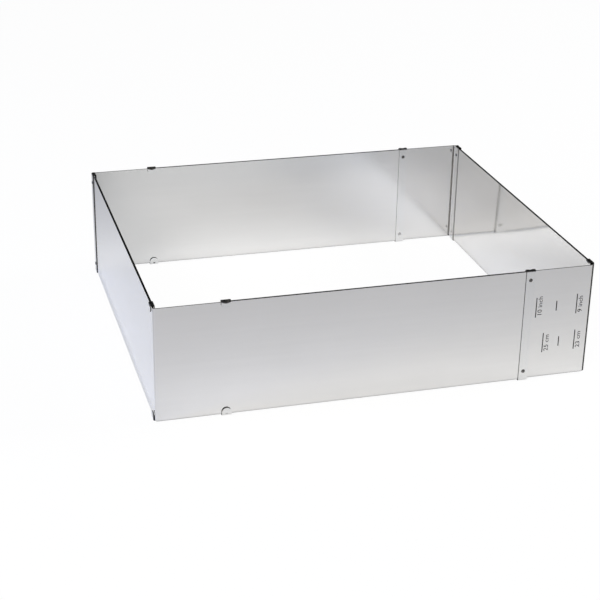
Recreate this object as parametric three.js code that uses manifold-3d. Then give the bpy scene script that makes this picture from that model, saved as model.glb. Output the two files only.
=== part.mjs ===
// Adjustable rectangular cake frame.
// Four bent steel angles overlap in pairs, so each wall is an outer arm over an inner arm.
// A clip riveted to the free end of each arm wraps both sheets and guides them as they slide.
// Millimetres, +X along the longer walls, +Z up, origin at the centre of the footprint.

import * as THREE from 'three';
import { mergeVertices } from 'three/addons/utils/BufferGeometryUtils.js';
import Module from 'manifold-3d';

const wasm = await Module();
wasm.setup();

// Overall sizes, over the outer faces of the walls
const closedSide = 223.5; // side of the square frame pushed fully in
const lengthDrawnOut = 34.5; // how far the long walls stand drawn out

// Sheets
const sheetHeight = 68.5;
const sheetThickness = 0.5;
const bendRadius = 1.2; // inside the bend
const slideGap = 0.3; // between the two sheets of a wall
const endClearance = 0.3; // arm end to the bend of the angle it closes on

// Clips
const clipWidth = 5.5;
const clipThickness = 0.5;
const clipBendRadius = 0.25; // inside its folds
const clipGap = 0.3; // clip to the sheet that slides in it
const tabLength = 4.0; // from the sheet's edge to the crest of the tab

// Rivets
const rivetHeadRadius = 1.15;
const rivetHeadHeight = 0.4;
const rivetShankRadius = 0.7;
const rivetHoleClearance = 0.1; // on the radius
const rivetEdgeDistance = 5.3; // from the sheet's edge to the rivet's axis

// Facets
const bendSegments = 6;
const tabSegments = 12;
const foldSegments = 4;
const roundSegments = 16;
const domeSteps = 4;
const cutOverrun = 1.0; // how far a cutter passes the face it cuts

// Places worked out from the sizes above
const outsideLength = closedSide + lengthDrawnOut;
const outsideWidth = closedSide;
const wallStack = 2 * sheetThickness + slideGap;
const innerInset = sheetThickness + slideGap;
const clipReach = Math.max(bendRadius, clipGap + clipThickness, clipThickness + rivetHeadHeight);
const armEndInset = wallStack + clipReach + endClearance;
const outerArm = closedSide - armEndInset;
const innerArm = outerArm - innerInset;
const sheetBottom = clipGap + clipThickness;
const clipHeight = sheetHeight + 2 * sheetBottom;
const tabFace = wallStack + clipGap;

const steel = { color: 0xc6c7cb, roughness: 0.28, metalness: 1.0 };
const clipSteel = { color: 0xcfccc4, roughness: 0.34, metalness: 1.0 };
const rivetSteel = { color: 0x6f6d68, roughness: 0.45, metalness: 1.0 };

// Solids for cutting
function toSolid(geometry) {
  const bare = geometry.clone();
  bare.deleteAttribute('normal');
  bare.deleteAttribute('uv');
  const merged = mergeVertices(bare);
  return new wasm.Manifold(new wasm.Mesh({
    numProp: 3,
    vertProperties: new Float32Array(merged.attributes.position.array),
    triVerts: new Uint32Array(merged.index.array),
  }));
}

function toGeometry(solid) {
  const mesh = solid.getMesh();
  const geometry = new THREE.BufferGeometry();
  geometry.setAttribute('position', new THREE.BufferAttribute(mesh.vertProperties, 3));
  geometry.setIndex(new THREE.BufferAttribute(mesh.triVerts, 1));
  geometry.computeVertexNormals();
  return geometry;
}

function cut(geometry, cutters) {
  let solid = toSolid(geometry);
  for (const cutter of cutters) {
    solid = solid.subtract(toSolid(cutter));
  }
  return toGeometry(solid);
}

function named(name, geometry, look) {
  const mesh = new THREE.Mesh(geometry, new THREE.MeshStandardMaterial(look));
  mesh.name = name;
  return mesh;
}

// Heights of the two rivets of a clip, above the sheet's lower edge
function rivetHeights() {
  return { bottom: rivetEdgeDistance, top: sheetHeight - rivetEdgeDistance };
}

// A cutter for a rivet hole, its axis along Y and centred on the sheet it passes
function rivetHole(x, y, z) {
  const depth = sheetThickness + clipThickness + 2 * cutOverrun;
  const radius = rivetShankRadius + rivetHoleClearance;
  const hole = new THREE.CylinderGeometry(radius, radius, depth, roundSegments);
  hole.translate(x, y, z);
  return hole;
}

// Angle: one sheet with an arm along +X and an arm along +Y, outer corner at the origin
function angleGeometry(arm) {
  const outerBend = bendRadius + sheetThickness;
  const outline = new THREE.Shape();
  outline.moveTo(outerBend, 0);
  outline.lineTo(arm, 0);
  outline.lineTo(arm, sheetThickness);
  outline.lineTo(outerBend, sheetThickness);
  outline.absarc(outerBend, outerBend, bendRadius, -Math.PI / 2, -Math.PI, true);
  outline.lineTo(sheetThickness, arm);
  outline.lineTo(0, arm);
  outline.lineTo(0, outerBend);
  outline.absarc(outerBend, outerBend, outerBend, Math.PI, 1.5 * Math.PI, false);
  const sheet = new THREE.ExtrudeGeometry(outline, {
    depth: sheetHeight,
    bevelEnabled: false,
    curveSegments: bendSegments,
  });
  const holes = [];
  for (const height of Object.values(rivetHeights())) {
    const along = arm - clipWidth / 2;
    holes.push(rivetHole(along, sheetThickness / 2, height));
    const side = rivetHole(0, 0, 0);
    side.rotateZ(Math.PI / 2);
    side.translate(sheetThickness / 2, along, height);
    holes.push(side);
  }
  return cut(sheet, holes);
}

// Clip: its strip lies against the sheet at Y = 0, and its folds reach over both sheets to +Y
function clipProfile() {
  const outerFold = clipBendRadius + clipThickness;
  const near = -clipThickness;
  const far = tabFace + clipThickness;
  const foldNear = near + outerFold;
  const foldFar = far - outerFold;
  const foldLow = outerFold;
  const foldHigh = clipHeight - outerFold;
  const crestLow = sheetBottom + tabLength;
  const crestHigh = clipHeight - crestLow;
  const quarter = Math.PI / 2;
  const profile = new THREE.Shape();
  profile.moveTo(far, crestLow);
  profile.lineTo(tabFace, crestLow);
  profile.lineTo(tabFace, foldLow);
  profile.absarc(foldFar, foldLow, clipBendRadius, 0, -quarter, true);
  profile.lineTo(foldNear, clipThickness);
  profile.absarc(foldNear, foldLow, clipBendRadius, -quarter, -2 * quarter, true);
  profile.lineTo(0, foldHigh);
  profile.absarc(foldNear, foldHigh, clipBendRadius, 2 * quarter, quarter, true);
  profile.lineTo(foldFar, clipHeight - clipThickness);
  profile.absarc(foldFar, foldHigh, clipBendRadius, quarter, 0, true);
  profile.lineTo(tabFace, crestHigh);
  profile.lineTo(far, crestHigh);
  profile.lineTo(far, foldHigh);
  profile.absarc(foldFar, foldHigh, outerFold, 0, quarter, false);
  profile.lineTo(foldNear, clipHeight);
  profile.absarc(foldNear, foldHigh, outerFold, quarter, 2 * quarter, false);
  profile.lineTo(near, foldLow);
  profile.absarc(foldNear, foldLow, outerFold, 2 * quarter, 3 * quarter, false);
  profile.lineTo(foldFar, 0);
  profile.absarc(foldFar, foldLow, outerFold, 3 * quarter, 4 * quarter, false);
  profile.closePath();
  return profile;
}

// What is cut from a tab to leave its round nose: crest up on the lower tab, down on the upper
function noseCutter(upper) {
  const half = clipWidth / 2;
  const wide = half + cutOverrun;
  const spring = tabLength - half;
  const past = tabLength + cutOverrun;
  const outline = new THREE.Shape();
  outline.moveTo(-wide, spring);
  outline.lineTo(-half, spring);
  outline.absarc(0, spring, half, Math.PI, 0, true);
  outline.lineTo(wide, spring);
  outline.lineTo(wide, past);
  outline.lineTo(-wide, past);
  outline.closePath();
  const nose = new THREE.ExtrudeGeometry(outline, {
    depth: clipThickness + 2 * cutOverrun,
    bevelEnabled: false,
    curveSegments: tabSegments,
  });
  nose.rotateX(Math.PI / 2);
  if (upper) {
    nose.rotateY(Math.PI);
  }
  const edge = upper ? sheetBottom + sheetHeight : sheetBottom;
  nose.translate(0, tabFace + clipThickness + cutOverrun, edge);
  return nose;
}

function clipGeometry() {
  const strip = new THREE.ExtrudeGeometry(clipProfile(), {
    depth: clipWidth,
    bevelEnabled: false,
    curveSegments: foldSegments,
  });
  const along = new THREE.Vector3(1, 0, 0);
  const outward = new THREE.Vector3(0, 1, 0);
  const up = new THREE.Vector3(0, 0, 1);
  strip.applyMatrix4(new THREE.Matrix4().makeBasis(outward, up, along));
  strip.translate(-clipWidth / 2, 0, 0);
  const cutters = [noseCutter(false), noseCutter(true)];
  for (const height of Object.values(rivetHeights())) {
    cutters.push(rivetHole(0, -clipThickness / 2, sheetBottom + height));
  }
  return cut(strip, cutters);
}

// Rivet: a low domed head on the clip and a shank that ends flush with the sheet's far face
function rivetGeometry() {
  const headFace = -clipThickness;
  const profile = [];
  for (let step = 0; step <= domeSteps; step += 1) {
    const turn = (step / domeSteps) * (Math.PI / 2);
    const radius = rivetHeadRadius * Math.sin(turn);
    profile.push(new THREE.Vector2(radius, headFace - rivetHeadHeight * Math.cos(turn)));
  }
  profile.push(new THREE.Vector2(rivetShankRadius, headFace));
  profile.push(new THREE.Vector2(rivetShankRadius, sheetThickness));
  profile.push(new THREE.Vector2(0, sheetThickness));
  return new THREE.LatheGeometry(profile, roundSegments);
}

// A clip with its two rivets, on the outer face of an outer arm or the inner face of an inner arm
function clipSet(name) {
  const set = new THREE.Group();
  set.add(named(`${name}_clip`, clipGeometry(), clipSteel));
  for (const [place, height] of Object.entries(rivetHeights())) {
    const rivet = named(`${name}_rivet_${place}`, rivetGeometry(), rivetSteel);
    rivet.position.z = sheetBottom + height;
    set.add(rivet);
  }
  return set;
}

// An angle with the clips at the ends of its two arms
function angle(name, outer, walls) {
  const arm = outer ? outerArm : innerArm;
  const clipFace = outer ? 0 : sheetThickness;
  const flip = outer ? 0 : Math.PI;
  const along = arm - clipWidth / 2;
  const group = new THREE.Group();
  const sheet = named(`${name}_angle`, angleGeometry(arm), steel);
  sheet.position.z = sheetBottom;
  group.add(sheet);
  const first = clipSet(`${name}_${walls[0]}`);
  first.position.set(along, clipFace, 0);
  first.rotation.z = flip;
  group.add(first);
  const second = clipSet(`${name}_${walls[1]}`);
  second.position.set(clipFace, along, 0);
  second.rotation.z = flip - Math.PI / 2;
  group.add(second);
  return group;
}

// Assembly: the outer angles stand at the outer corners, the inner ones a sheet and a gap inside
const frame = new THREE.Group();
const halfLength = outsideLength / 2;
const halfWidth = outsideWidth / 2;

const frontLeft = angle('front_left', true, ['front', 'left']);
frontLeft.position.set(-halfLength, -halfWidth, 0);
frame.add(frontLeft);

const frontRight = angle('front_right', false, ['right', 'front']);
frontRight.position.set(halfLength - innerInset, innerInset - halfWidth, 0);
frontRight.rotation.z = Math.PI / 2;
frame.add(frontRight);

const backRight = angle('back_right', true, ['back', 'right']);
backRight.position.set(halfLength, halfWidth, 0);
backRight.rotation.z = Math.PI;
frame.add(backRight);

const backLeft = angle('back_left', false, ['left', 'back']);
backLeft.position.set(innerInset - halfLength, halfWidth - innerInset, 0);
backLeft.rotation.z = -Math.PI / 2;
frame.add(backLeft);

export default frame;
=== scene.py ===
"""Adjustable cake frame: four bent steel angles that slide in each other, with clips and a scale."""

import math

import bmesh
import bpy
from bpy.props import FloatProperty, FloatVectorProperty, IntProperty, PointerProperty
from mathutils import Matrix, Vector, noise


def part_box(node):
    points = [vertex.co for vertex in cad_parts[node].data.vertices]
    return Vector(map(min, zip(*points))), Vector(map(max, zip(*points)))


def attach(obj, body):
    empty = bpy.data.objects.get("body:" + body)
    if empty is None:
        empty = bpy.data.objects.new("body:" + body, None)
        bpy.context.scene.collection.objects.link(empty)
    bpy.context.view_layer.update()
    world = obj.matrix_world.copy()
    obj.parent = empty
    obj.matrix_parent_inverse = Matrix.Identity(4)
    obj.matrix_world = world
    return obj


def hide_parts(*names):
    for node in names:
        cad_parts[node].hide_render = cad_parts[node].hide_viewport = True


bl_info = {
    "name": "Adjustable Cake Frame",
    "version": (1, 0, 0),
    "blender": (4, 5, 0),
    "location": "View3D > Sidebar > Cake Frame",
    "description": "Models the finished sheets, clips, rivets and scale of an adjustable cake frame",
    "category": "Add Mesh",
}

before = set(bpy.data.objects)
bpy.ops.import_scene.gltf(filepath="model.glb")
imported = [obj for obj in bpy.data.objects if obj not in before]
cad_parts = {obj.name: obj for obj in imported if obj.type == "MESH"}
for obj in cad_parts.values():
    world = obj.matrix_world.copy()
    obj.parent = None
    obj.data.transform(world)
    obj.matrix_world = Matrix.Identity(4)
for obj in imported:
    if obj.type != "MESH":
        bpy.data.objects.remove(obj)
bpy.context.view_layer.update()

MM = 0.001
CENTIMETRE = 10 * MM
INCH = 25.4 * MM
QUARTER = math.pi / 2
# Turns between two faces: past the first an edge is shaded sharp, past the second it is rounded
SHARP_TURN = math.radians(20)
ROUNDED_TURN = math.radians(60)
# How far a finished piece may reach outside the solid that it stands for
REACH_SLACK = 0.12 * MM
# Height of the font's digits at size 1
DIGIT_SHARE = 0.69
# The floor lies a hair below the clips and runs on past the picture
FLOOR_DROP = 0.1 * MM
FLOOR_REACH = 12
FLOOR_SHADE_SAMPLES = 8

# Marks per metre of the patterns, along X, Y and Z where these differ
ROLLED_LINES = (9, 9, 2600)
ROLLED_STREAKS = (14, 14, 420)
ROLLED_CLOUDS = 28
SLOW_WAVES = 16
BRUSHED_LINES = (2400, 2400, 30)
BRUSHED_CLOUDS = 160
SHEARED_LINES = (3000, 3000, 900)
RIVET_PITS = 2600
INK_WEAR = 1800
# How deep the patterns lie in the steel
ROLLED_DEPTH = 0.0012 * MM
WAVE_DEPTH = 0.5 * MM
BRUSHED_DEPTH = 0.002 * MM
SHEARED_DEPTH = 0.02 * MM
PIT_DEPTH = 0.03 * MM
# Roughness of the finishes, and what their patterns add to it
ROUGHNESS = {
    "streaks": 0.015, "marks": 0.03,
    "clip": 0.15, "clip_clouds": 0.06, "dulling_and_shade": 0.15,
    "worked": 0.3, "worked_lines": 0.2,
    "rivet": 0.3, "pits": 0.15,
    "ink": 0.45, "ink_wear": 0.15,
}
INK_GLOSS = 0.3
# Share of the clouds in the sheet's mottled tone, beside its streaks
CLOUD_SHARE = 0.6
# Distance from a bend over which the painted shade beside it fades
BEND_SHADE_REACH = 16 * MM
# Painted contact shadow at a sheet's foot: the height over which it fades, its strength, and its tone
# as a share of the sheet's colour
FOOT_SHADE_HEIGHT = 0.35 * MM
FOOT_SHADE_STRENGTH = 0.85
FOOT_SHADE_TONE = 0.25
# Attribute of the clips, from 0 to 1: how far the steel is dulled and darkened with painted shade
DULLING_AND_SHADE = "dulling_and_shade"
# Strength of the dulling and painted shade in a lower tab's dimple, on the tabs inside and outside the
# frame
INSIDE_DULL_SHADE = 1.0
OUTSIDE_DULL_SHADE = 0.3

# Soft lamps: degrees to the right of the front wall and above the floor, side in metres, and watts
LAMP_DISTANCE = 1.7
LAMPS = {
    "key_lamp": {
        "azimuth": -40, "elevation": 35, "size": 0.6, "power": 9, "colour": (1.0, 0.96, 0.92)},
    "right_lamp": {
        "azimuth": 90, "elevation": 35, "size": 0.6, "power": 7.5, "colour": (0.96, 0.975, 1.0)},
    "left_lamp": {
        "azimuth": -100, "elevation": 14, "size": 0.6, "power": 6.5, "colour": (0.14, 0.33, 1.0)},
    "top_lamp": {
        "azimuth": 0, "elevation": 89, "size": 0.8, "power": 3.5, "colour": (1.0, 0.98, 0.95)},
}
# The camera's place in metres, the directions of the picture's right and up, and its lens in mm
CAMERA_PLACE = (-0.25204, -0.82808, 0.40204)
CAMERA_RIGHT = (0.96342, -0.26750, 0.01617)
CAMERA_UP = (0.09584, 0.40029, 0.91136)
CAMERA_LENS = 89.7
CAMERA_SENSOR = 36

# Each angle: the turn of its two arms in quarters, whether it lies outside, the walls that its arms
# stand in, the least roughness of its sheet, and the strength of the shade painted on it beside its
# bend
ANGLES = {
    "front_left": {
        "turn": 0, "outer": True, "walls": ("front", "left"), "dullness": 0.05, "bend_shade": 0},
    "front_right": {
        "turn": 1, "outer": False, "walls": ("right", "front"), "dullness": 0.04, "bend_shade": 0},
    "back_right": {
        "turn": 2, "outer": True, "walls": ("back", "right"), "dullness": 0.13, "bend_shade": 0.05},
    "back_left": {
        "turn": -1, "outer": False, "walls": ("left", "back"), "dullness": 0.12, "bend_shade": 0.37},
}
# The inner angles carry the printed scale on this one of their two walls
SCALE_WALLS = {"front_right": "front", "back_left": "back"}

# Sizes that the frame gives
outer_low, outer_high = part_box("front_left_angle")
inner_low, inner_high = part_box("front_right_angle")
clip_low, clip_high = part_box("front_left_front_clip")
rivet_low, rivet_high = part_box("front_left_front_rivet_top")
low_rivet_low, low_rivet_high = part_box("front_left_front_rivet_bottom")
SHEET_BOTTOM = outer_low.z
SHEET_HEIGHT = outer_high.z - outer_low.z
SHEET_THICKNESS = rivet_high.y - outer_low.y
OUTER_ARM = outer_high.x - outer_low.x
INNER_ARM = inner_high.x - inner_low.x
CLIP_THICKNESS = outer_low.y - clip_low.y
CLIP_WIDTH = clip_high.x - clip_low.x
CLIP_DEPTH = clip_high.y - clip_low.y
CLIP_HEIGHT = clip_high.z - clip_low.z
RIVET_HEAD_RADIUS = (rivet_high.x - rivet_low.x) / 2
RIVET_HEAD_HEIGHT = clip_low.y - rivet_low.y
RIVET_HEIGHTS = {
    "bottom": (low_rivet_low.z + low_rivet_high.z) / 2,
    "top": (rivet_low.z + rivet_high.z) / 2,
}


class CakeSheetSizes(bpy.types.PropertyGroup):
    """Sizes of the bent sheets."""

    bend_radius: FloatProperty(
        name="Bend Radius", description="Radius inside the bend of an angle",
        default=1.2 * MM, min=0.2 * MM, unit="LENGTH", precision=5)
    bend_steps: IntProperty(
        name="Bend Steps", description="Faces round the bend", default=14, min=4)
    bend_margin: FloatProperty(
        name="Bend Margin", description="Narrow flat row beside the bend",
        default=0.4 * MM, unit="LENGTH", precision=5)
    arm_steps: IntProperty(
        name="Arm Steps", description="Faces along an arm", default=26, min=2)
    height_steps: IntProperty(
        name="Height Steps", description="Faces up a wall", default=9, min=1)
    edge_round: FloatProperty(
        name="Edge Round", description="Rounding of the sheared edges",
        default=0.18 * MM, unit="LENGTH", precision=6)
    wave_height: FloatProperty(
        name="Wave Height", description="How far the thin sheet waves from flat",
        default=0.05 * MM, unit="LENGTH", precision=6)
    wave_length: FloatProperty(
        name="Wave Length", description="Distance between the waves of a sheet",
        default=55 * MM, unit="LENGTH", precision=4)


class CakeClipSizes(bpy.types.PropertyGroup):
    """Sizes of the pressed clips."""

    fold_radius: FloatProperty(
        name="Fold Radius", description="Radius inside a clip's folds",
        default=0.25 * MM, unit="LENGTH", precision=6)
    fold_steps: IntProperty(
        name="Fold Steps", description="Faces round a fold", default=8, min=2)
    tab_length: FloatProperty(
        name="Tab Length", description="From the sheet's edge to the crest of a tab",
        default=4.0 * MM, unit="LENGTH", precision=5)
    width_steps: IntProperty(
        name="Width Steps", description="Faces across the strip", default=24, min=8)
    tab_steps: IntProperty(
        name="Tab Steps", description="Faces up a tab, below its round nose", default=6, min=1)
    strip_steps: IntProperty(
        name="Strip Steps", description="Faces up half the strip", default=6, min=1)
    edge_round: FloatProperty(
        name="Edge Round", description="Rounding of the pressed edges",
        default=0.08 * MM, unit="LENGTH", precision=6)
    dimple_depth: FloatProperty(
        name="Dimple Depth", description="Depth of the stiffening dimple in the tab's fold",
        default=0.26 * MM, unit="LENGTH", precision=6)
    dimple_radius: FloatProperty(
        name="Dimple Radius", description="Radius of the stiffening dimple",
        default=1.6 * MM, unit="LENGTH", precision=5)
    # The dulled arch and dimple below are also darkened with painted shade in the clip's material
    dull_shade_arch: FloatProperty(
        name="Dull Shade Arch", description="How far the dulled arch reaches down an upper tab",
        default=0.8 * MM, unit="LENGTH", precision=5)
    dull_shade_dimple: FloatProperty(
        name="Dull Shade Dimple", description="Radius of the stain over a lower dimple",
        default=0.95 * MM, min=0.1 * MM, unit="LENGTH", precision=5)
    dull_shade_fade: FloatProperty(
        name="Dull Shade Fade", description="Width over which the dulled steel turns bright again",
        default=0.4 * MM, min=0.01 * MM, unit="LENGTH", precision=5)


class CakeRivetSizes(bpy.types.PropertyGroup):
    """Sizes of the rivets."""

    shank_radius: FloatProperty(
        name="Shank Radius", description="Radius of the rivet's shank",
        default=0.7 * MM, unit="LENGTH", precision=5)
    round_steps: IntProperty(
        name="Round Steps", description="Faces round a rivet", default=32, min=8)


class CakeScaleSizes(bpy.types.PropertyGroup):
    """Places and sizes of the printed scale."""

    line_width: FloatProperty(
        name="Line Width", description="Width of a printed line",
        default=0.6 * MM, unit="LENGTH", precision=5)
    ink_height: FloatProperty(
        name="Ink Height", description="Thickness of the ink on the sheet",
        default=0.03 * MM, unit="LENGTH", precision=6)
    digit_height: FloatProperty(
        name="Digit Height", description="Height of the printed digits",
        default=2.6 * MM, unit="LENGTH", precision=5)
    letter_stretch: FloatProperty(
        name="Letter Stretch", description="Width of the letters beside their usual width",
        default=1.14)
    letter_weight: FloatProperty(
        name="Letter Weight", description="How far the strokes are thickened, in letter sizes",
        default=0.006, precision=4)
    letter_steps: IntProperty(
        name="Letter Steps", description="Faces round each curve of a letter", default=3, min=1)
    text_gap: FloatProperty(
        name="Text Gap", description="From a line to the letters beside it",
        default=1.0 * MM, unit="LENGTH", precision=5)
    centimetre_offset: FloatProperty(
        name="Centimetre Offset", description="From the reading edge to the line of that reading",
        default=1.5 * MM, unit="LENGTH", precision=5)
    inch_offset: FloatProperty(
        name="Inch Offset", description="From the reading edge to the inch line of that reading",
        default=-0.5 * MM, unit="LENGTH", precision=5)
    largest_reading: FloatProperty(
        name="Largest Reading", description="Outside length of the frame drawn fully out",
        default=430 * MM, unit="LENGTH", precision=4)
    first_centimetre: IntProperty(
        name="First Centimetre", description="Least reading in centimetres", default=23)
    first_inch: IntProperty(
        name="First Inch", description="Least reading in inches", default=9)
    line_length: FloatProperty(
        name="Line Length", description="Length of the lines with figures",
        default=12.4 * MM, unit="LENGTH", precision=5)
    centimetre_height: FloatProperty(
        name="Centimetre Height", description="Height of the foot of the centimetre lines",
        default=16.5 * MM, unit="LENGTH", precision=5)
    inch_height: FloatProperty(
        name="Inch Height", description="Height of the foot of the inch lines",
        default=39.5 * MM, unit="LENGTH", precision=5)


class CakeColours(bpy.types.PropertyGroup):
    """Colours of the finishes."""

    sheet: FloatVectorProperty(
        name="Sheet", description="Bright rolled stainless sheet",
        subtype="COLOR", default=(0.80, 0.789, 0.775), min=0, max=1)
    clip: FloatVectorProperty(
        name="Clip", description="Satin stainless strip of the clips",
        subtype="COLOR", default=(0.80, 0.795, 0.785), min=0, max=1)
    long_wall_edge: FloatVectorProperty(
        name="Long Wall Edge", description="Sheared edges of the front and back walls",
        subtype="COLOR", default=(0.13, 0.129, 0.126), min=0, max=1)
    # Painted shade: the side walls' edges are a darker copy of the long walls' edges
    side_wall_shaded_edge: FloatVectorProperty(
        name="Side Wall Shaded Edge", description="Sheared edges of the left and right walls",
        subtype="COLOR", default=(0.02, 0.02, 0.019), min=0, max=1)
    # Painted shadow on the ends of the outer arms, and painted light on the ends of the inner arms
    outer_end_shade: FloatVectorProperty(
        name="Outer End Shade", description="Sheared ends of the outer arms",
        subtype="COLOR", default=(0.04, 0.04, 0.039), min=0, max=1)
    inner_end_light: FloatVectorProperty(
        name="Inner End Light", description="Ends of the inner arms, rubbed bright by the sliding",
        subtype="COLOR", default=(0.75, 0.74, 0.72), min=0, max=1)
    outer_strip_edge: FloatVectorProperty(
        name="Outer Strip Edge", description="Sheared edges of the strips on the outer arms",
        subtype="COLOR", default=(0.13, 0.128, 0.124), min=0, max=1)
    # Painted light: the inner strips' edges are a lighter copy of the outer strips' edges
    inner_strip_edge_light: FloatVectorProperty(
        name="Inner Strip Edge Light", description="Edges of the strips on the inner arms, rubbed brighter",
        subtype="COLOR", default=(0.42, 0.414, 0.4), min=0, max=1)
    tab_edge: FloatVectorProperty(
        name="Tab Edge", description="Punched edges of the clips' tabs",
        subtype="COLOR", default=(0.045, 0.044, 0.042), min=0, max=1)
    # Painted shade: the dark colour of the clips' upper folds and lower dimples
    clip_fold_shade: FloatVectorProperty(
        name="Clip Fold Shade", description="Upper folds of the clips, dulled by handling",
        subtype="COLOR", default=(0.1, 0.098, 0.095), min=0, max=1)
    # Painted shade and light: the rivet heads come as a dark copy, and a light copy for the lower heads
    # inside the frame
    rivet: FloatVectorProperty(
        name="Rivet", description="Dull heads of the rivets",
        subtype="COLOR", default=(0.16, 0.155, 0.15), min=0, max=1)
    lit_rivet: FloatVectorProperty(
        name="Lit Rivet", description="Lower rivet heads inside the frame, wiped bright",
        subtype="COLOR", default=(0.6, 0.59, 0.575), min=0, max=1)
    ink: FloatVectorProperty(
        name="Ink", description="Printed lines and figures",
        subtype="COLOR", default=(0.03, 0.03, 0.035), min=0, max=1)
    floor: FloatVectorProperty(
        name="Floor", description="White studio floor",
        subtype="COLOR", default=(0.86, 0.86, 0.86), min=0, max=1)
    mirrored_floor: FloatVectorProperty(
        name="Mirrored Floor", description="Tint of the floor as the steel mirrors it",
        subtype="COLOR", default=(0.94, 0.97, 1.0), min=0, max=1)


class CakeStageLevels(bpy.types.PropertyGroup):
    """Brightness of the floor and of the room, where 1 is white."""

    white: FloatProperty(
        name="White", description="Glow of the floor as the camera sees it", default=1.06)
    white_share: FloatProperty(
        name="White Share", description="Share of that glow, beside the lit floor with its shadow",
        default=0.9, min=0, max=1)
    mirrored_far: FloatProperty(
        name="Mirrored Far", description="Glow of the whole floor as the steel mirrors it",
        default=0.07)
    mirrored_near: FloatProperty(
        name="Mirrored Near", description="What the mirrored glow gains beside a wall",
        default=0.42)
    mirrored_inside: FloatProperty(
        name="Mirrored Inside", description="What the mirrored glow gains within the walls",
        default=0.12)
    mirrored_reach: FloatProperty(
        name="Mirrored Reach", description="Distance over which the glow beside a wall fades",
        default=110 * MM, unit="LENGTH")
    mirrored_turn: FloatProperty(
        name="Mirrored Turn", description="Half the width of the soft change under a wall",
        default=10 * MM, unit="LENGTH")
    contact_shade: FloatProperty(
        name="Contact Shade", description="Strength of the mirrored shade at the foot of a wall",
        default=2.0, min=0)
    contact_deepest: FloatProperty(
        name="Contact Deepest", description="Most of the mirrored glow that the shade takes away",
        default=0.17, min=0, max=1)
    contact_reach: FloatProperty(
        name="Contact Reach", description="Distance over which that shade fades",
        default=3.2 * MM, unit="LENGTH", precision=4)
    room_light: FloatProperty(
        name="Room Light", description="Light of the room on the frame", default=0.06)
    room_mirrored: FloatProperty(
        name="Room Mirrored", description="Brightness of the room above as the steel mirrors it",
        default=0.02)
    horizon_mirrored: FloatProperty(
        name="Horizon Mirrored", description="What that brightness gains at the horizon",
        default=0.4)
    horizon_height: FloatProperty(
        name="Horizon Height", description="Part of the sky's height over which that gain fades",
        default=0.15, min=0.01)


class Value:
    """A number that varies over a surface: a socket whose sums and products add Math nodes."""

    def __init__(self, shading, socket):
        self.shading = shading
        self.socket = socket

    def math(self, operation, first, second):
        return self.shading.math(operation, first, second)

    def __add__(self, other):
        return self.math("ADD", self, other)

    def __radd__(self, other):
        return self.math("ADD", other, self)

    def __sub__(self, other):
        return self.math("SUBTRACT", self, other)

    def __rsub__(self, other):
        return self.math("SUBTRACT", other, self)

    def __mul__(self, other):
        return self.math("MULTIPLY", self, other)

    def __rmul__(self, other):
        return self.math("MULTIPLY", other, self)


class Shading:
    """The node tree of a material or of the world, filled through one method."""

    def __init__(self, owner):
        owner.use_nodes = True
        self.tree = owner.node_tree
        self.tree.nodes.clear()

    def node(self, kind, settings=None, inputs=None, output=0):
        """Adds a node, sets it up, links or fills its sockets and gives one of its outputs."""
        made = self.tree.nodes.new(kind)
        for name, value in (settings or {}).items():
            if name == "stops":
                ramp = made.color_ramp
                for element, (position, level) in zip(ramp.elements, value):
                    element.position = position
                    element.color = (level, level, level, 1)
            else:
                setattr(made, name, value)
        for name, value in (inputs or {}).items():
            if isinstance(value, Value):
                self.tree.links.new(value.socket, made.inputs[name])
            else:
                made.inputs[name].default_value = value
        return Value(self, made.outputs[output]) if made.outputs else made

    def math(self, operation, first, second):
        inputs = {0: first, 1: second}
        return self.node("ShaderNodeMath", {"operation": operation}, inputs)

    def place(self, stretch=(1, 1, 1), shift=(0, 0, 0)):
        """Object coordinates in metres, scaled by stretch on each axis and moved by shift."""
        point = self.node("ShaderNodeTexCoord", output="Object")
        inputs = {"Vector": point, "Scale": stretch, "Location": shift}
        return self.node("ShaderNodeMapping", inputs=inputs)

    def split(self, place):
        """The X, Y and Z of a place."""
        separate = self.node("ShaderNodeSeparateXYZ", inputs={0: place})
        return [Value(self, socket) for socket in separate.socket.node.outputs]

    def noise(self, place, scale=1.0, detail=2.0):
        inputs = {"Vector": place, "Scale": scale, "Detail": detail}
        return self.node("ShaderNodeTexNoise", inputs=inputs)

    def fading(self, distance, reach):
        """Falls from 1 towards 0 with distance, to about a third at reach."""
        return self.math("EXPONENT", distance * (-1 / reach), 0)

    def ramp(self, factor, low, high):
        """Goes from 0 to 1 as factor goes from low to high."""
        settings = {"stops": ((low, 0), (high, 1))}
        return self.node("ShaderNodeValToRGB", settings, {"Fac": factor})

    def mix(self, factor, first, second):
        settings = {"data_type": "RGBA"}
        inputs = {0: factor, 6: first, 7: second}
        return self.node("ShaderNodeMix", settings, inputs, output=2)

    def tone(self, factor, colour, darkest, lightest):
        """The colour times darkest where factor is 0, up to the colour times lightest where it is 1."""
        return self.mix(factor, shade(colour, darkest), shade(colour, lightest))

    def bump(self, height, depth, normal=None):
        inputs = {"Height": height, "Distance": depth}
        if normal is not None:
            inputs["Normal"] = normal
        return self.node("ShaderNodeBump", inputs=inputs)

    def surface(self, shader):
        self.node("ShaderNodeOutputMaterial", inputs={"Surface": shader})

    def metal(self, tone, roughness, normal):
        self.surface(self.node("ShaderNodeBsdfPrincipled", inputs={
            "Base Color": tone, "Metallic": 1.0, "Roughness": roughness, "Normal": normal}))


def shade(colour, share):
    """The colour made darker or lighter by a share, as a node's socket takes it."""
    return (*(channel * share for channel in colour), 1)


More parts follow.
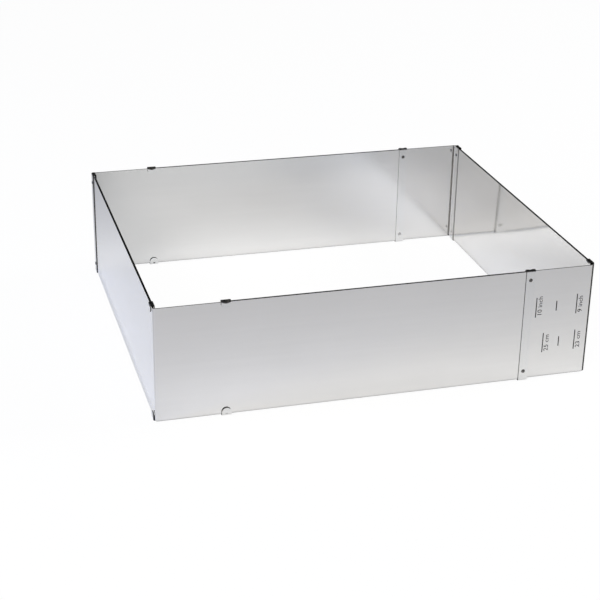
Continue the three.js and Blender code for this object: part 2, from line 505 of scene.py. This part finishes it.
def sheet_steel(name, shift):
    """Bright rolled sheet with lines, streaks, clouds and slow waves, painted shade beside its bend and
    a painted shadow at its foot.
    """
    material = bpy.data.materials.new(f"{name}_rolled_sheet")
    steel = Shading(material)
    angle = ANGLES[name]
    colour = bpy.context.scene.cake_colours.sheet
    clouds = steel.noise(steel.place(shift=shift), scale=ROLLED_CLOUDS, detail=3)
    lines = steel.noise(steel.place(ROLLED_LINES, shift))
    streaks = steel.noise(steel.place(ROLLED_STREAKS, shift), detail=3)
    marks = steel.ramp(clouds, low=0.42, high=0.68)
    mottle = clouds * CLOUD_SHARE + streaks * (1 - CLOUD_SHARE)
    tone = steel.tone(mottle, colour, darkest=0.955, lightest=1.035)
    x, y, height = steel.split(steel.place())
    bend = place_angle(name).translation
    away = steel.math(
        "MAXIMUM", steel.math("ABSOLUTE", x - bend.x, 0), steel.math("ABSOLUTE", y - bend.y, 0))
    # Painted shade: the sheet is darker near its bend, fading with the distance from it
    pressed = steel.fading(away, BEND_SHADE_REACH)
    tone = steel.mix(pressed * angle["bend_shade"], tone, shade(colour, 0))
    # Painted contact shadow: the sheet turns darker towards its foot
    foot = steel.fading(height - SHEET_BOTTOM, FOOT_SHADE_HEIGHT)
    tone = steel.mix(foot * FOOT_SHADE_STRENGTH, tone, shade(colour, FOOT_SHADE_TONE))
    waves = steel.noise(steel.place(shift=shift), scale=SLOW_WAVES, detail=1)
    normal = steel.bump(lines, ROLLED_DEPTH, steel.bump(waves, WAVE_DEPTH))
    roughness = angle["dullness"] + ROUGHNESS["streaks"] * streaks + ROUGHNESS["marks"] * marks
    steel.metal(tone, roughness, normal)
    return material


def clip_steel():
    """Satin strip, brushed along its length, with its upper folds and lower dimples dulled and darkened
    by painted shade.
    """
    material = bpy.data.materials.new("clip_strip")
    steel = Shading(material)
    colours = bpy.context.scene.cake_colours
    lines = steel.noise(steel.place(BRUSHED_LINES))
    clouds = steel.noise(steel.place(), scale=BRUSHED_CLOUDS)
    dulled_and_shaded = steel.node("ShaderNodeAttribute", {"attribute_name": DULLING_AND_SHADE}, output="Fac")
    tone = steel.tone(lines, colours.clip, darkest=0.95, lightest=1.03)
    # Painted shade: the dulled places take the dark fold colour
    tone = steel.mix(dulled_and_shaded, tone, shade(colours.clip_fold_shade, 1))
    roughness = ROUGHNESS["clip"] + ROUGHNESS["clip_clouds"] * clouds + ROUGHNESS["dulling_and_shade"] * dulled_and_shaded
    steel.metal(tone, roughness, steel.bump(lines, BRUSHED_DEPTH))
    return material


def worked_steel(name, colour):
    """Sheared or punched steel: darker and rougher than the rolled face, with fine lines across it."""
    material = bpy.data.materials.new(name)
    steel = Shading(material)
    lines = steel.noise(steel.place(SHEARED_LINES), detail=3)
    tone = steel.tone(lines, colour, darkest=0.7, lightest=1.25)
    roughness = ROUGHNESS["worked"] + ROUGHNESS["worked_lines"] * lines
    steel.metal(tone, roughness, steel.bump(lines, SHEARED_DEPTH))
    return material


def rivet_steel(name, colour):
    """Rivet head, pitted by the setting tool."""
    material = bpy.data.materials.new(name)
    steel = Shading(material)
    pits = steel.noise(steel.place(), scale=RIVET_PITS, detail=3)
    tone = steel.tone(pits, colour, darkest=0.75, lightest=1.15)
    roughness = ROUGHNESS["rivet"] + ROUGHNESS["pits"] * pits
    steel.metal(tone, roughness, steel.bump(pits, PIT_DEPTH))
    return material


def scale_ink():
    """Printed ink, a little thinner in places."""
    material = bpy.data.materials.new("scale_print")
    ink = Shading(material)
    wear = ink.noise(ink.place(), scale=INK_WEAR)
    thin = ink.ramp(wear, low=0.5, high=0.9)
    tone = ink.tone(thin, bpy.context.scene.cake_colours.ink, darkest=1, lightest=3)
    roughness = ROUGHNESS["ink"] + ROUGHNESS["ink_wear"] * wear
    ink.surface(ink.node("ShaderNodeBsdfPrincipled", inputs={
        "Base Color": tone, "Roughness": roughness, "Specular IOR Level": INK_GLOSS}))
    return material


def place_angle(name):
    """Where an angle's own corner stands, turned as its arms lie."""
    angle = ANGLES[name]
    low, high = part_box(f"{name}_angle")
    x = high.x if "right" in name else low.x
    y = high.y if "back" in name else low.y
    turn = Matrix.Rotation(angle["turn"] * QUARTER, 4, "Z")
    return Matrix.Translation((x, y, 0)) @ turn


def place_clip(name, arm):
    """Where the clip at the free end of an angle's first or second arm stands."""
    outer = ANGLES[name]["outer"]
    face = 0 if outer else SHEET_THICKNESS
    along = (OUTER_ARM if outer else INNER_ARM) - CLIP_WIDTH / 2
    turn = 0 if outer else 2
    if arm == 0:
        local = Matrix.Translation((along, face, 0))
    else:
        local = Matrix.Translation((face, along, 0))
        turn -= 1
    return place_angle(name) @ local @ Matrix.Rotation(turn * QUARTER, 4, "Z")


def sweep(bm, geom, steps, angle=0.0, axis=(0, 0, 1), centre=(0, 0, 0), shift=(0, 0, 0)):
    """Carries a row or a face on in steps, turned by angle or moved by shift in all."""
    step = Vector(shift) / steps
    spun = bmesh.ops.spin(
        bm, geom=geom, cent=centre, axis=axis, dvec=step, angle=angle, steps=steps,
        use_merge=False, use_duplicate=False)
    return spun["geom_last"]


def round_edges(bm, radius):
    """Rounds the edges that turn by more than ROUNDED_TURN."""
    sharp = [e for e in bm.edges if e.is_manifold and e.calc_face_angle() > ROUNDED_TURN]
    bmesh.ops.bevel(
        bm, geom=sharp, offset=radius, offset_type="OFFSET", segments=2, profile=0.5,
        affect="EDGES", clamp_overlap=True, material=-1)


def finish_mesh(bm, name, materials, matrix):
    """Makes the object of a bmesh, with its place in its mesh and smooth faces between sharp edges."""
    bmesh.ops.transform(bm, matrix=matrix, verts=bm.verts)
    mesh = bpy.data.meshes.new(name)
    bm.to_mesh(mesh)
    bm.free()
    for material in materials:
        mesh.materials.append(material)
    mesh.polygons.foreach_set("use_smooth", [True] * len(mesh.polygons))
    mesh.set_sharp_from_angle(angle=SHARP_TURN)
    piece = bpy.data.objects.new(name, mesh)
    bpy.context.scene.collection.objects.link(piece)
    return piece


def stand_for(piece, node, body):
    """Puts a finished piece in the place of a frame node, on its body and with its finish."""
    low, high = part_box(node)
    for vertex in piece.data.vertices:
        for axis in range(3):
            if not low[axis] - REACH_SLACK <= vertex.co[axis] <= high[axis] + REACH_SLACK:
                raise RuntimeError(f"{piece.name} reaches outside {node} at {tuple(vertex.co)}")
    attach(piece, body)
    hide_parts(node)


def bent_sheet(arm, seed):
    """One sheet with an arm along +X and an arm along +Y, its outer corner at the origin."""
    sizes = bpy.context.scene.cake_sheets
    outer_bend = sizes.bend_radius + SHEET_THICKNESS
    straight = arm - outer_bend - sizes.bend_margin
    bm = bmesh.new()
    bmesh.ops.create_grid(bm, x_segments=1, y_segments=sizes.height_steps, size=0.5)
    upright = Matrix(((0, 0, 1, arm), (1, 0, 0, 0.5), (0, 1, 0, 0.5), (0, 0, 0, 1)))
    section = Matrix.Diagonal((1, SHEET_THICKNESS, SHEET_HEIGHT, 1))
    bmesh.ops.transform(bm, matrix=section @ upright, verts=bm.verts)
    row = bm.faces[:]
    row = sweep(bm, row, sizes.arm_steps, shift=(-straight, 0, 0))
    row = sweep(bm, row, 1, shift=(-sizes.bend_margin, 0, 0))
    centre = (outer_bend, outer_bend, 0)
    row = sweep(bm, row, sizes.bend_steps, angle=-QUARTER, centre=centre)
    row = sweep(bm, row, 1, shift=(0, sizes.bend_margin, 0))
    sweep(bm, row, sizes.arm_steps, shift=(0, straight, 0))
    bmesh.ops.recalc_face_normals(bm, faces=bm.faces)
    for vertex in bm.verts:
        along = max(vertex.co.x, vertex.co.y) - outer_bend
        if along <= 0:
            continue
        place = Vector((along, vertex.co.z, seed * sizes.wave_length)) / sizes.wave_length
        fade = min(1, along / sizes.wave_length)
        wave = sizes.wave_height * fade * noise.noise(place)
        vertex.co[1 if vertex.co.x > vertex.co.y else 0] += wave
    round_edges(bm, sizes.edge_round)
    for face in bm.faces:
        centre = face.calc_center_median()
        if abs(face.normal.z) > math.sin(SHARP_TURN):
            face.material_index = 1 if centre.x > centre.y else 2
        elif max(centre.x, centre.y) > arm - sizes.edge_round / 2:
            face.material_index = 3
    bmesh.ops.translate(bm, verts=bm.verts, vec=(0, 0, SHEET_BOTTOM))
    return bm


def dimple(bm, centre, inward):
    """Presses a round dimple of the clip's sizes into the vertices near centre."""
    sizes = bpy.context.scene.cake_clips
    for vertex in bm.verts:
        away = (vertex.co - centre).length / sizes.dimple_radius
        if away < 1:
            vertex.co += inward * sizes.dimple_depth * (1 - away * away) ** 2


def pressed_clip(dimple_dull_shade):
    """One clip: a strip against the sheet's face at Y = 0, folded over both edges to round-nosed tabs.

    Its upper fold is dulled and darkened with painted shade, and so is the dimple of its lower tab, as
    far as the argument says, from 0 to 1.
    """
    sizes = bpy.context.scene.cake_clips
    fold = sizes.fold_radius + CLIP_THICKNESS
    near = -CLIP_THICKNESS
    far = near + CLIP_DEPTH
    half = CLIP_WIDTH / 2
    spring = SHEET_BOTTOM + sizes.tab_length - half
    middle = CLIP_HEIGHT / 2
    merge = sizes.edge_round / 10
    across = (1, 0, 0)
    bm = bmesh.new()
    bmesh.ops.create_circle(bm, segments=2 * sizes.width_steps, radius=half)
    on_tab = Matrix.Translation((0, far, spring)) @ Matrix.Rotation(QUARTER, 4, "X")
    bmesh.ops.transform(bm, matrix=on_tab, verts=bm.verts)
    below = [v for v in bm.verts if v.co.z < spring - sizes.edge_round]
    bmesh.ops.delete(bm, geom=below, context="VERTS")
    row = sweep(bm, bm.edges[:], 1)
    for vertex in (part for part in row if isinstance(part, bmesh.types.BMVert)):
        vertex.co.z = spring
    row = sweep(bm, row, sizes.tab_steps, shift=(0, 0, fold - spring))
    row = sweep(bm, row, sizes.fold_steps, angle=-QUARTER, axis=across, centre=(0, far - fold, fold))
    row = sweep(bm, row, 2, shift=(0, 2 * fold - CLIP_DEPTH, 0))
    row = sweep(bm, row, sizes.fold_steps, angle=-QUARTER, axis=across, centre=(0, near + fold, fold))
    row = sweep(bm, row, 1, shift=(0, 0, sizes.dull_shade_fade))
    sweep(bm, row, sizes.strip_steps, shift=(0, 0, middle - fold - sizes.dull_shade_fade))
    bmesh.ops.remove_doubles(bm, verts=bm.verts, dist=merge)
    diagonal = fold * math.sqrt(0.5)
    corner = Vector((0, far - fold + diagonal, fold - diagonal))
    dimple(bm, corner, Vector((0, -math.sqrt(0.5), math.sqrt(0.5))))
    bmesh.ops.translate(bm, verts=bm.verts, vec=(0, 0, -middle))
    bmesh.ops.mirror(
        bm, geom=bm.verts[:] + bm.edges[:] + bm.faces[:], axis="Z", merge_dist=merge)
    bmesh.ops.translate(bm, verts=bm.verts, vec=(0, 0, middle))
    bmesh.ops.recalc_face_normals(bm, faces=bm.faces)
    skin = set(bm.faces)
    rim = [e for e in bm.edges if e.is_boundary]
    bmesh.ops.solidify(bm, geom=bm.faces[:], thickness=CLIP_THICKNESS)
    for edge in rim:
        for face in edge.link_faces:
            if face not in skin:
                face.material_index = 1 if face.calc_center_median().y < 0 else 2
    bmesh.ops.recalc_face_normals(bm, faces=bm.faces)
    round_edges(bm, sizes.edge_round)
    bmesh.ops.dissolve_degenerate(bm, edges=bm.edges, dist=merge / 2)
    # Where the clip is dulled, its material also darkens it with painted shade
    dulled_and_shaded = bm.verts.layers.float.new(DULLING_AND_SHADE)
    for vertex in bm.verts:
        arch = sizes.dull_shade_arch * (1 - (vertex.co.x / half) ** 2) if vertex.co.y > 0 else 0
        depth = CLIP_HEIGHT - vertex.co.z - fold - arch
        away = (vertex.co - Vector((0, far, sizes.dull_shade_dimple))).length / sizes.dull_shade_dimple
        vertex[dulled_and_shaded] = min(max(0.5 - depth / sizes.dull_shade_fade, dimple_dull_shade * (1 - away * away), 0), 1)
    return bm


def set_rivet():
    """One rivet with its axis along Z: a low dome on the clip, and a shank to the sheet's far face."""
    sizes = bpy.context.scene.cake_rivets
    steps = sizes.round_steps
    bm = bmesh.new()
    bmesh.ops.create_uvsphere(bm, u_segments=steps, v_segments=steps // 2, radius=1)
    below = [v for v in bm.verts if v.co.z < -1 / steps]
    bmesh.ops.delete(bm, geom=below, context="VERTS")
    dome = Matrix.Diagonal((RIVET_HEAD_RADIUS, RIVET_HEAD_RADIUS, RIVET_HEAD_HEIGHT, 1))
    bmesh.ops.transform(bm, matrix=dome, verts=bm.verts)
    rim = [e for e in bm.edges if e.is_boundary]
    row = sweep(bm, rim, 1)
    verts = [part for part in row if isinstance(part, bmesh.types.BMVert)]
    narrow = sizes.shank_radius / RIVET_HEAD_RADIUS
    bmesh.ops.scale(bm, verts=verts, vec=(narrow, narrow, 1))
    row = sweep(bm, row, 1, shift=(0, 0, -CLIP_THICKNESS - SHEET_THICKNESS))
    bmesh.ops.edgeloop_fill(bm, edges=[part for part in row if isinstance(part, bmesh.types.BMEdge)])
    bmesh.ops.recalc_face_normals(bm, faces=bm.faces)
    return bm


def printed_line(bm, along, low, high):
    """Adds a printed line across the arm's face, between two heights."""
    sizes = bpy.context.scene.cake_scale
    made = bmesh.ops.create_cube(bm, size=1)
    size = Matrix.Diagonal((sizes.ink_height, sizes.line_width, high - low, 1))
    place = Matrix.Translation((-sizes.ink_height / 2, along, (low + high) / 2))
    bmesh.ops.transform(bm, matrix=place @ size, verts=made["verts"])


def printed_text(bm, words, along, low):
    """Adds words that read upwards beside a printed line."""
    sizes = bpy.context.scene.cake_scale
    curve = bpy.data.curves.new("figures", "FONT")
    curve.body = words
    curve.size = 1
    curve.offset = sizes.letter_weight
    curve.resolution_u = sizes.letter_steps
    text = bpy.data.objects.new("figures", curve)
    bpy.context.scene.collection.objects.link(text)
    bpy.context.view_layer.update()
    evaluated = text.evaluated_get(bpy.context.evaluated_depsgraph_get())
    flat = bpy.data.meshes.new_from_object(evaluated)
    bpy.data.objects.remove(text)
    letters = bmesh.new()
    letters.from_mesh(flat)
    scale = sizes.digit_height / DIGIT_SHARE
    size = Matrix.Diagonal((scale * sizes.letter_stretch, scale, 1, 1))
    upwards = Matrix(((0, 0, -1, 0), (0, 1, 0, 0), (1, 0, 0, 0), (0, 0, 0, 1)))
    baseline = along - sizes.text_gap - sizes.digit_height
    place = Matrix.Translation((-sizes.ink_height / 2, baseline, low))
    bmesh.ops.transform(letters, matrix=place @ upwards @ size, verts=letters.verts)
    bmesh.ops.solidify(letters, geom=letters.faces[:], thickness=sizes.ink_height / 2)
    bmesh.ops.recalc_face_normals(letters, faces=letters.faces)
    letters.to_mesh(flat)
    letters.free()
    bm.from_mesh(flat)
    bpy.data.meshes.remove(flat)
    bpy.data.curves.remove(curve)


def scale_row(bm, label, unit, first, spacing, offset, low):
    """Prints one row of the scale, where each second line is long and has its figure."""
    sizes = bpy.context.scene.cake_scale
    high = low + sizes.line_length
    short = sizes.line_length / 4
    lines = 1 + int((sizes.largest_reading / unit - first) / spacing)
    for line in range(lines):
        reading = first + line * spacing
        along = reading * unit - OUTER_ARM - offset
        if line % 2 == 0:
            printed_line(bm, along, low, high)
            printed_text(bm, f"{reading:g} {label}", along, low + sizes.line_width)
        else:
            printed_line(bm, along, low + short, high - short)


class CAKEFRAME_OT_bend_sheets(bpy.types.Operator):
    """Bend the four steel angles"""

    bl_idname = "cakeframe.bend_sheets"
    bl_label = "Bend the Sheets"

    def execute(self, context):
        colours = context.scene.cake_colours
        long_edge = worked_steel("long_wall_sheared_edge", colours.long_wall_edge)
        shaded_side_edge = worked_steel("side_wall_shaded_sheared_edge", colours.side_wall_shaded_edge)
        shaded_end = worked_steel("shaded_sheet_end", colours.outer_end_shade)
        lit_end = worked_steel("lit_sheet_end", colours.inner_end_light)
        for seed, (name, angle) in enumerate(ANGLES.items()):
            # Each sheet shows its own part of the patterns
            steel = sheet_steel(name, shift=(seed, seed / 3, seed / 7))
            arm = OUTER_ARM if angle["outer"] else INNER_ARM
            # Painted shade on the side walls' edges and the outer ends, painted light on the inner ends
            edges = [long_edge if wall in ("front", "back") else shaded_side_edge for wall in angle["walls"]]
            materials = [steel, *edges, shaded_end if angle["outer"] else lit_end]
            sheet = bent_sheet(arm, seed)
            piece = finish_mesh(sheet, f"{name}_bent_sheet", materials, place_angle(name))
            stand_for(piece, f"{name}_angle", name)
        return {"FINISHED"}


class CAKEFRAME_OT_press_clips(bpy.types.Operator):
    """Press the clips at the ends of the arms"""

    bl_idname = "cakeframe.press_clips"
    bl_label = "Press the Clips"

    def execute(self, context):
        colours = context.scene.cake_colours
        strip = clip_steel()
        sheared_edge = worked_steel("sheared_strip_edge", colours.outer_strip_edge)
        lit_edge = worked_steel("lit_strip_edge", colours.inner_strip_edge_light)
        tab_edge = worked_steel("punched_tab_edge", colours.tab_edge)
        for name, angle in ANGLES.items():
            # The inner clips take the lighter strip edge as painted light
            materials = [strip, sheared_edge if angle["outer"] else lit_edge, tab_edge]
            # Painted shade in the lower dimples, stronger on the tabs inside the frame
            dimple_dull_shade = INSIDE_DULL_SHADE if angle["outer"] else OUTSIDE_DULL_SHADE
            for arm, wall in enumerate(angle["walls"]):
                place = place_clip(name, arm)
                clip = pressed_clip(dimple_dull_shade)
                piece = finish_mesh(clip, f"{name}_{wall}_pressed_clip", materials, place)
                stand_for(piece, f"{name}_{wall}_clip", name)
        return {"FINISHED"}


class CAKEFRAME_OT_set_rivets(bpy.types.Operator):
    """Set the two rivets of each clip"""

    bl_idname = "cakeframe.set_rivets"
    bl_label = "Set the Rivets"

    def execute(self, context):
        colours = context.scene.cake_colours
        dull = rivet_steel("rivet_head", colours.rivet)
        lit_head = rivet_steel("lit_rivet_head", colours.lit_rivet)
        upright = Matrix.Translation((0, -CLIP_THICKNESS, 0)) @ Matrix.Rotation(QUARTER, 4, "X")
        for name, angle in ANGLES.items():
            for arm, wall in enumerate(angle["walls"]):
                for end, height in RIVET_HEIGHTS.items():
                    place = place_clip(name, arm) @ Matrix.Translation((0, 0, height)) @ upright
                    rivet = f"{name}_{wall}_set_rivet_{end}"
                    # Lower heads inside the frame take the painted light copy, the others the painted
                    # dark one
                    steel = lit_head if end == "bottom" and not angle["outer"] else dull
                    piece = finish_mesh(set_rivet(), rivet, [steel], place)
                    stand_for(piece, f"{name}_{wall}_rivet_{end}", name)
        return {"FINISHED"}


class CAKEFRAME_OT_print_scale(bpy.types.Operator):
    """Print the length scale on the inner angles"""

    bl_idname = "cakeframe.print_scale"
    bl_label = "Print the Scale"

    def execute(self, context):
        sizes = context.scene.cake_scale
        ink = scale_ink()
        for name, wall in SCALE_WALLS.items():
            bm = bmesh.new()
            scale_row(
                bm, "cm", CENTIMETRE, sizes.first_centimetre, spacing=1,
                offset=sizes.centimetre_offset, low=sizes.centimetre_height)
            scale_row(
                bm, "inch", INCH, sizes.first_inch, spacing=0.5,
                offset=sizes.inch_offset, low=sizes.inch_height)
            piece = finish_mesh(bm, f"{wall}_printed_scale", [ink], place_angle(name))
            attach(piece, name)
        return {"FINISHED"}


class CAKEFRAME_OT_set_stage(bpy.types.Operator):
    """Lay the floor, hang the lamps and set up the camera"""

    bl_idname = "cakeframe.set_stage"
    bl_label = "Set the Stage"

    def execute(self, context):
        lay_floor()
        light_room()
        for name, lamp in LAMPS.items():
            hang_lamp(name, **lamp)
        set_camera()
        context.scene.view_settings.view_transform = "Standard"
        return {"FINISHED"}


def lay_floor():
    """White floor: it keeps the frame's shadow and shows white to the camera; to the steel it shows a
    painted glow, brightest beside the walls, with a painted shade at their feet.
    """
    bm = bmesh.new()
    bmesh.ops.create_grid(bm, x_segments=1, y_segments=1, size=FLOOR_REACH)
    bmesh.ops.translate(bm, verts=bm.verts, vec=(0, 0, -FLOOR_DROP))
    material = bpy.data.materials.new("studio_floor")
    white = Shading(material)
    levels = bpy.context.scene.cake_stage
    colours = bpy.context.scene.cake_colours
    lit = white.node("ShaderNodeBsdfDiffuse", inputs={"Color": shade(colours.floor, 1)})
    glow = white.node("ShaderNodeEmission", inputs={"Color": (1, 1, 1, 1), "Strength": levels.white})
    camera = white.node("ShaderNodeLightPath", output="Is Camera Ray")
    glossy = white.node("ShaderNodeLightPath", output="Is Glossy Ray")
    through = white.node("ShaderNodeLightPath", output="Is Transmission Ray")
    x, y = white.split(white.place())[:2]
    # How far a point lies outside the inner faces of the rest pose's walls, below 0 within them
    beyond = white.math(
        "MAXIMUM",
        white.math("ABSOLUTE", x, 0) + (outer_low.x + SHEET_THICKNESS),
        white.math("ABSOLUTE", y, 0) + (outer_low.y + SHEET_THICKNESS))
    away = white.math("SQRT", beyond * beyond + levels.mirrored_turn ** 2, 0)
    near = white.fading(away, levels.mirrored_reach)
    inside = 0.5 - 0.5 * white.math("TANH", beyond * (1 / levels.mirrored_turn), 0)
    open_sky = white.node("ShaderNodeAmbientOcclusion", {"samples": FLOOR_SHADE_SAMPLES}, {
        "Distance": levels.contact_reach}, output="AO")
    covered = levels.contact_shade * (1 - open_sky)
    contact = 1 - white.math("MINIMUM", covered, levels.contact_deepest)
    level = levels.mirrored_far + levels.mirrored_near * near + levels.mirrored_inside * inside
    tint = white.tone(level * contact, colours.mirrored_floor, darkest=0, lightest=1)
    share = levels.white_share * camera
    seen = white.node("ShaderNodeMixShader", inputs={0: share, 1: lit, 2: glow})
    mirrored = white.node("ShaderNodeEmission", inputs={
        "Color": tint, "Strength": glossy + through})
    white.surface(white.node("ShaderNodeAddShader", inputs={0: seen, 1: mirrored}))
    floor = finish_mesh(bm, "floor", [material], Matrix.Identity(4))


def light_room():
    """The room round the floor: white to the camera, dim above the frame's steel."""
    world = bpy.data.worlds.new("studio_room")
    bpy.context.scene.world = world
    room = Shading(world)
    levels = bpy.context.scene.cake_stage
    camera = room.node("ShaderNodeLightPath", output="Is Camera Ray")
    glossy = room.node("ShaderNodeLightPath", output="Is Glossy Ray")
    towards = room.node("ShaderNodeTexCoord", output="Generated")
    height = room.math("ABSOLUTE", room.split(towards)[2], 0)
    horizon = room.fading(height, levels.horizon_height)
    light = levels.room_light
    mirrored = levels.room_mirrored + levels.horizon_mirrored * horizon
    strength = light + (1 - light) * camera + (mirrored - light) * glossy
    background = room.node("ShaderNodeBackground", inputs={
        "Color": (1, 1, 1, 1), "Strength": strength})
    room.node("ShaderNodeOutputWorld", inputs={"Surface": background})


def hang_lamp(name, azimuth, elevation, size, power, colour):
    """A square soft lamp that faces the frame, azimuth degrees to the right of the front wall."""
    turn, rise = math.radians(azimuth), math.radians(elevation)
    level = LAMP_DISTANCE * math.cos(rise)
    place = (level * math.sin(turn), -level * math.cos(turn), LAMP_DISTANCE * math.sin(rise))
    lamp = bpy.data.lights.new(name, "AREA")
    lamp.shape = "SQUARE"
    lamp.size = size
    lamp.energy = power
    lamp.color = colour
    piece = bpy.data.objects.new(name, lamp)
    piece.location = place
    aim = Vector(place) - Vector((0, 0, SHEET_HEIGHT / 2))
    piece.rotation_euler = aim.to_track_quat("Z", "Y").to_euler()
    bpy.context.scene.collection.objects.link(piece)


def set_camera():
    """The photograph's view: from the front left, above the rim."""
    camera = bpy.data.cameras.new("camera")
    camera.sensor_width = CAMERA_SENSOR
    camera.lens = CAMERA_LENS
    piece = bpy.data.objects.new("camera", camera)
    right, up = Vector(CAMERA_RIGHT), Vector(CAMERA_UP)
    turn = Matrix((right, up, right.cross(up))).transposed().to_4x4()
    piece.matrix_world = Matrix.Translation(CAMERA_PLACE) @ turn
    bpy.context.scene.collection.objects.link(piece)
    bpy.context.scene.camera = piece


class CAKEFRAME_PT_sidebar(bpy.types.Panel):
    """Lists the steps that make the cake frame"""

    bl_label = "Cake Frame"
    bl_space_type = "VIEW_3D"
    bl_region_type = "UI"
    bl_category = "Cake Frame"

    def draw(self, context):
        for operator in OPERATORS:
            self.layout.operator(operator.bl_idname)
        for name, group in GROUPS.items():
            box = self.layout.box()
            for prop in group.__annotations__:
                box.prop(getattr(context.scene, name), prop)


GROUPS = {
    "cake_sheets": CakeSheetSizes,
    "cake_clips": CakeClipSizes,
    "cake_rivets": CakeRivetSizes,
    "cake_scale": CakeScaleSizes,
    "cake_colours": CakeColours,
    "cake_stage": CakeStageLevels,
}
OPERATORS = (
    CAKEFRAME_OT_set_stage,
    CAKEFRAME_OT_bend_sheets,
    CAKEFRAME_OT_press_clips,
    CAKEFRAME_OT_set_rivets,
    CAKEFRAME_OT_print_scale,
)


def register():
    for group in GROUPS.values():
        bpy.utils.register_class(group)
    for name, group in GROUPS.items():
        setattr(bpy.types.Scene, name, PointerProperty(type=group))
    for operator in OPERATORS:
        bpy.utils.register_class(operator)
    bpy.utils.register_class(CAKEFRAME_PT_sidebar)


def unregister():
    bpy.utils.unregister_class(CAKEFRAME_PT_sidebar)
    for operator in reversed(OPERATORS):
        bpy.utils.unregister_class(operator)
    for name, group in reversed(GROUPS.items()):
        delattr(bpy.types.Scene, name)
        bpy.utils.unregister_class(group)


def main():
    register()
    bpy.ops.cakeframe.set_stage()
    bpy.ops.cakeframe.bend_sheets()
    bpy.ops.cakeframe.press_clips()
    bpy.ops.cakeframe.set_rivets()
    bpy.ops.cakeframe.print_scale()


if __name__ == "__main__":
    main()
